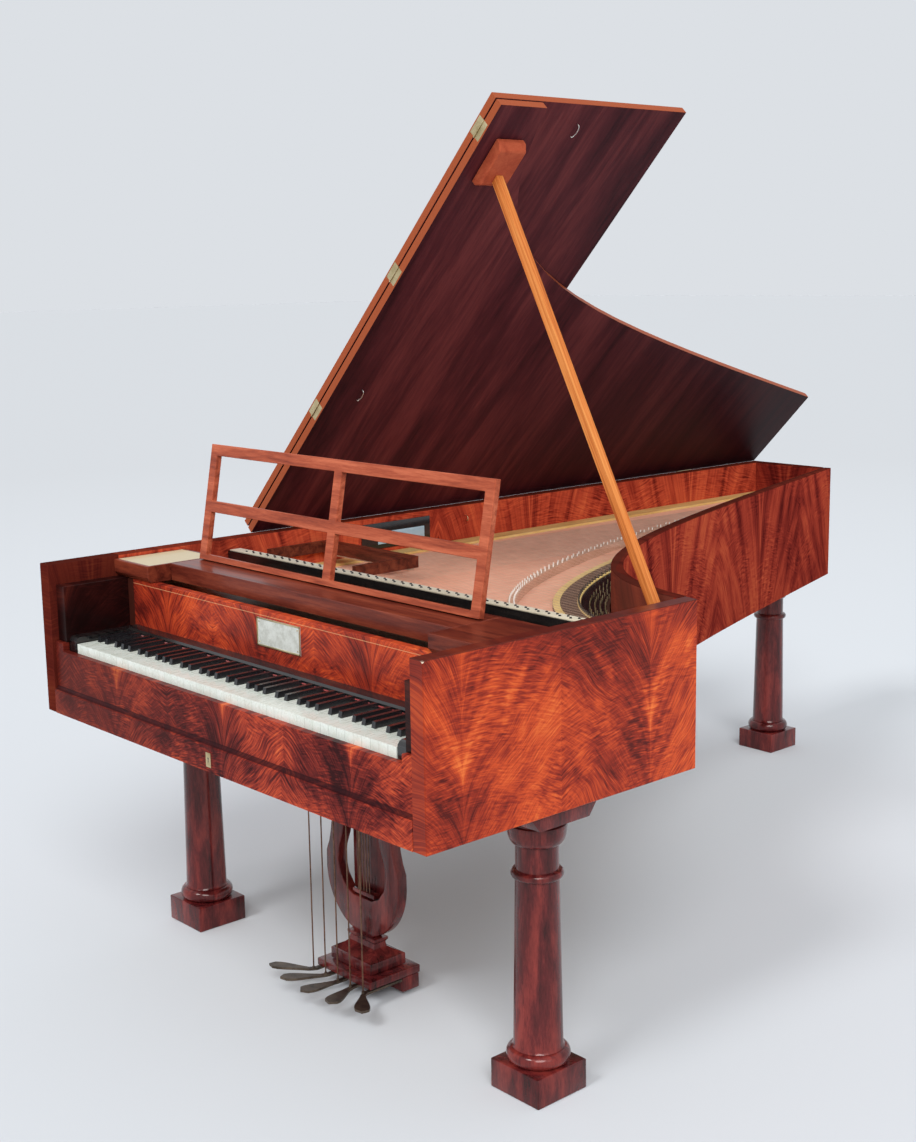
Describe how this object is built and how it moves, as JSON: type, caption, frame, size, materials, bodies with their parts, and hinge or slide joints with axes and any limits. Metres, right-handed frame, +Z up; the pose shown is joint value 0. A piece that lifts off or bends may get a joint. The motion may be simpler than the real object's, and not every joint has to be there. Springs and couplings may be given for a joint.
{
  "type": "fortepiano",
  "caption": "Grand fortepiano: winged case on turned legs with lid raised on its prop, folding flap, music desk, keyboard, lyre and pedals.",
  "frame": {"origin": "on the floor under the middle of the case", "axes": "+X from the bass side to the treble side, +Y from the player to the tail, +Z up"},
  "size_m": [1.2655, 2.4211, 1.7819],
  "materials": {
    "veneer": "polished veneer",
    "dark_veneer": "polished veneer",
    "turned_wood": "polished",
    "desk_wood": "satin",
    "prop_wood": "satin",
    "ebonised": "gloss",
    "ivory": "satin",
    "soundboard": "satin",
    "pale_wood": "satin",
    "structure": "plain",
    "brass": "aged",
    "bronze": "dark patina",
    "silvered": "satin"
  },
  "bodies": {
    "case": {"spine": "veneer", "bentside": "veneer", "cheek": "veneer", "tail_wall": "veneer", "lock_rail": "veneer", "key_slip": "veneer", "arm_bass": "veneer", "arm_treble": "veneer", "nameboard": "veneer", "bottom_board": "structure", "wrest_plank": "structure", "belly_rail": "structure", "key_block_bass": "ebonised", "key_block_treble": "ebonised", "nameboard_batten": "ebonised", "name_plate": "silvered", "soundboard": "soundboard", "bridge": "soundboard", "soundboard_moulding": "pale_wood", "candle_block_bass": "dark_veneer", "candle_block_treble": "dark_veneer", "desk_shelf": "desk_wood", "leg_bass": "turned_wood", "leg_treble": "turned_wood", "leg_tail": "turned_wood", "lyre_body": "turned_wood", "lyre_back": "turned_wood", "lock_plate": "brass"},
    "lid": {"lid_main": "dark_veneer", "prop_pad": "turned_wood"},
    "flap": {"lid_flap": "dark_veneer"},
    "prop": {"prop_stick": "prop_wood"},
    "desk": {"desk_frame": "desk_wood"},
    "keyboard": {"key_frame": "structure", "keys_bass": "ivory", "keys_treble": "ivory"},
    "bassoon": {"bassoon_stop": "dark_veneer"},
    "dampers": {"damper_rail": "ebonised"},
    "key_body_c": {"key_c": "ivory"},
    "key_body_c_sharp": {"key_c_sharp": "ebonised"},
    "key_body_d": {"key_d": "ivory"},
    "key_body_d_sharp": {"key_d_sharp": "ebonised"},
    "key_body_e": {"key_e": "ivory"},
    "key_body_f": {"key_f": "ivory"},
    "key_body_f_sharp": {"key_f_sharp": "ebonised"},
    "key_body_g": {"key_g": "ivory"},
    "key_body_g_sharp": {"key_g_sharp": "ebonised"},
    "key_body_a": {"key_a": "ivory"},
    "key_body_a_sharp": {"key_a_sharp": "ebonised"},
    "key_body_b": {"key_b": "ivory"},
    "pedal_body_una_corda": {"pedal_una_corda": "bronze"},
    "rod_body_una_corda": {"rod_una_corda": "bronze"},
    "pedal_body_bassoon": {"pedal_bassoon": "bronze"},
    "rod_body_bassoon": {"rod_bassoon": "bronze"},
    "pedal_body_moderator": {"pedal_moderator": "bronze"},
    "rod_body_moderator": {"rod_moderator": "bronze"},
    "pedal_body_double_moderator": {"pedal_double_moderator": "bronze"},
    "rod_body_double_moderator": {"rod_double_moderator": "bronze"},
    "pedal_body_damper": {"pedal_damper": "bronze"},
    "rod_body_damper": {"rod_damper": "bronze"}
  },
  "joints": [
    {"name": "lid_hinge", "type": "hinge", "parent": "case", "child": "lid", "pos_m": [-0.62, 0, 0.8653], "axis": [0, -1, 0], "range_deg": [0, 39]},
    {"name": "flap_hinge", "type": "hinge", "parent": "lid", "child": "flap", "pos_m": [-0.63295, -0.67, 0.8778], "axis": [0.6947, 0, 0.7193], "range_deg": [0, 165]},
    {"name": "prop_swing", "type": "hinge", "parent": "case", "child": "prop", "pos_m": [0.57, -0.598, 0.83], "axis": [0, 1, 0], "range_deg": [0, 27]},
    {"name": "desk_tilt", "type": "hinge", "parent": "case", "child": "desk", "pos_m": [0, -0.915, 0.8573], "axis": [-1, 0, 0], "range_deg": [0, 75]},
    {"name": "keyboard_shift", "type": "slide", "parent": "case", "child": "keyboard", "axis": [1, 0, 0], "range_m": [0, 0.0025]},
    {"name": "key_c_hinge", "type": "hinge", "parent": "keyboard", "child": "key_body_c", "pos_m": [0.03, -0.9725, 0.6785], "axis": [1, 0, 0], "range_deg": [0, 1.75], "stiffness_Nm_per_rad": 2, "springref_deg": -2.86},
    {"name": "key_c_sharp_hinge", "type": "hinge", "parent": "keyboard", "child": "key_body_c_sharp", "pos_m": [0.03, -0.9725, 0.6785], "axis": [1, 0, 0], "range_deg": [0, 1.75], "stiffness_Nm_per_rad": 2, "springref_deg": -2.86},
    {"name": "key_d_hinge", "type": "hinge", "parent": "keyboard", "child": "key_body_d", "pos_m": [0.03, -0.9725, 0.6785], "axis": [1, 0, 0], "range_deg": [0, 1.75], "stiffness_Nm_per_rad": 2, "springref_deg": -2.86},
    {"name": "key_d_sharp_hinge", "type": "hinge", "parent": "keyboard", "child": "key_body_d_sharp", "pos_m": [0.03, -0.9725, 0.6785], "axis": [1, 0, 0], "range_deg": [0, 1.75], "stiffness_Nm_per_rad": 2, "springref_deg": -2.86},
    {"name": "key_e_hinge", "type": "hinge", "parent": "keyboard", "child": "key_body_e", "pos_m": [0.03, -0.9725, 0.6785], "axis": [1, 0, 0], "range_deg": [0, 1.75], "stiffness_Nm_per_rad": 2, "springref_deg": -2.86},
    {"name": "key_f_hinge", "type": "hinge", "parent": "keyboard", "child": "key_body_f", "pos_m": [0.03, -0.9725, 0.6785], "axis": [1, 0, 0], "range_deg": [0, 1.75], "stiffness_Nm_per_rad": 2, "springref_deg": -2.86},
    {"name": "key_f_sharp_hinge", "type": "hinge", "parent": "keyboard", "child": "key_body_f_sharp", "pos_m": [0.03, -0.9725, 0.6785], "axis": [1, 0, 0], "range_deg": [0, 1.75], "stiffness_Nm_per_rad": 2, "springref_deg": -2.86},
    {"name": "key_g_hinge", "type": "hinge", "parent": "keyboard", "child": "key_body_g", "pos_m": [0.03, -0.9725, 0.6785], "axis": [1, 0, 0], "range_deg": [0, 1.75], "stiffness_Nm_per_rad": 2, "springref_deg": -2.86},
    {"name": "key_g_sharp_hinge", "type": "hinge", "parent": "keyboard", "child": "key_body_g_sharp", "pos_m": [0.03, -0.9725, 0.6785], "axis": [1, 0, 0], "range_deg": [0, 1.75], "stiffness_Nm_per_rad": 2, "springref_deg": -2.86},
    {"name": "key_a_hinge", "type": "hinge", "parent": "keyboard", "child": "key_body_a", "pos_m": [0.03, -0.9725, 0.6785], "axis": [1, 0, 0], "range_deg": [0, 1.75], "stiffness_Nm_per_rad": 2, "springref_deg": -2.86},
    {"name": "key_a_sharp_hinge", "type": "hinge", "parent": "keyboard", "child": "key_body_a_sharp", "pos_m": [0.03, -0.9725, 0.6785], "axis": [1, 0, 0], "range_deg": [0, 1.75], "stiffness_Nm_per_rad": 2, "springref_deg": -2.86},
    {"name": "key_b_hinge", "type": "hinge", "parent": "keyboard", "child": "key_body_b", "pos_m": [0.03, -0.9725, 0.6785], "axis": [1, 0, 0], "range_deg": [0, 1.75], "stiffness_Nm_per_rad": 2, "springref_deg": -2.86},
    {"name": "pedal_una_corda_hinge", "type": "hinge", "parent": "case", "child": "pedal_body_una_corda", "pos_m": [-0.082, -0.8274, 0.0363], "axis": [1, 0, 0], "range_deg": [0, 8], "stiffness_Nm_per_rad": 3, "springref_deg": -14.32},
    {"name": "rod_una_corda_slide", "type": "slide", "parent": "case", "child": "rod_body_una_corda", "axis": [0, 0, 1], "range_m": [-0.0137, 0]},
    {"name": "pedal_bassoon_hinge", "type": "hinge", "parent": "case", "child": "pedal_body_bassoon", "pos_m": [-0.041, -0.8274, 0.0363], "axis": [1, 0, 0], "range_deg": [0, 8], "stiffness_Nm_per_rad": 3, "springref_deg": -14.32},
    {"name": "rod_bassoon_slide", "type": "slide", "parent": "case", "child": "rod_body_bassoon", "axis": [0, 0, 1], "range_m": [-0.0137, 0]},
    {"name": "pedal_moderator_hinge", "type": "hinge", "parent": "case", "child": "pedal_body_moderator", "pos_m": [0, -0.8274, 0.0363], "axis": [1, 0, 0], "range_deg": [0, 8], "stiffness_Nm_per_rad": 3, "springref_deg": -14.32},
    {"name": "rod_moderator_slide", "type": "slide", "parent": "case", "child": "rod_body_moderator", "axis": [0, 0, 1], "range_m": [-0.0137, 0]},
    {"name": "pedal_double_moderator_hinge", "type": "hinge", "parent": "case", "child": "pedal_body_double_moderator", "pos_m": [0.041, -0.8274, 0.0363], "axis": [1, 0, 0], "range_deg": [0, 8], "stiffness_Nm_per_rad": 3, "springref_deg": -14.32},
    {"name": "rod_double_moderator_slide", "type": "slide", "parent": "case", "child": "rod_body_double_moderator", "axis": [0, 0, 1], "range_m": [-0.0137, 0]},
    {"name": "pedal_damper_hinge", "type": "hinge", "parent": "case", "child": "pedal_body_damper", "pos_m": [0.082, -0.8274, 0.0363], "axis": [1, 0, 0], "range_deg": [0, 8], "stiffness_Nm_per_rad": 3, "springref_deg": -14.32},
    {"name": "rod_damper_slide", "type": "slide", "parent": "case", "child": "rod_body_damper", "axis": [0, 0, 1], "range_m": [-0.0137, 0]},
    {"name": "bassoon_hinge", "type": "hinge", "parent": "case", "child": "bassoon", "pos_m": [-0.587, -0.65, 0.815], "axis": [1, 0, 0], "range_deg": [-1.6, 0]},
    {"name": "damper_lift", "type": "slide", "parent": "case", "child": "dampers", "axis": [0, 0, 1], "range_m": [0, 0.005]}
  ],
  "couplings": [
    {"joint": "rod_una_corda_slide", "follows": "pedal_una_corda_hinge", "m_per_rad": -0.0976},
    {"joint": "rod_bassoon_slide", "follows": "pedal_bassoon_hinge", "m_per_rad": -0.0976},
    {"joint": "rod_moderator_slide", "follows": "pedal_moderator_hinge", "m_per_rad": -0.0976},
    {"joint": "rod_double_moderator_slide", "follows": "pedal_double_moderator_hinge", "m_per_rad": -0.0976},
    {"joint": "rod_damper_slide", "follows": "pedal_damper_hinge", "m_per_rad": -0.0976},
    {"joint": "keyboard_shift", "follows": "pedal_una_corda_hinge", "m_per_rad": 0.0179},
    {"joint": "bassoon_hinge", "follows": "pedal_bassoon_hinge", "ratio": -0.19},
    {"joint": "damper_lift", "follows": "pedal_damper_hinge", "m_per_rad": 0.0358}
  ]
}
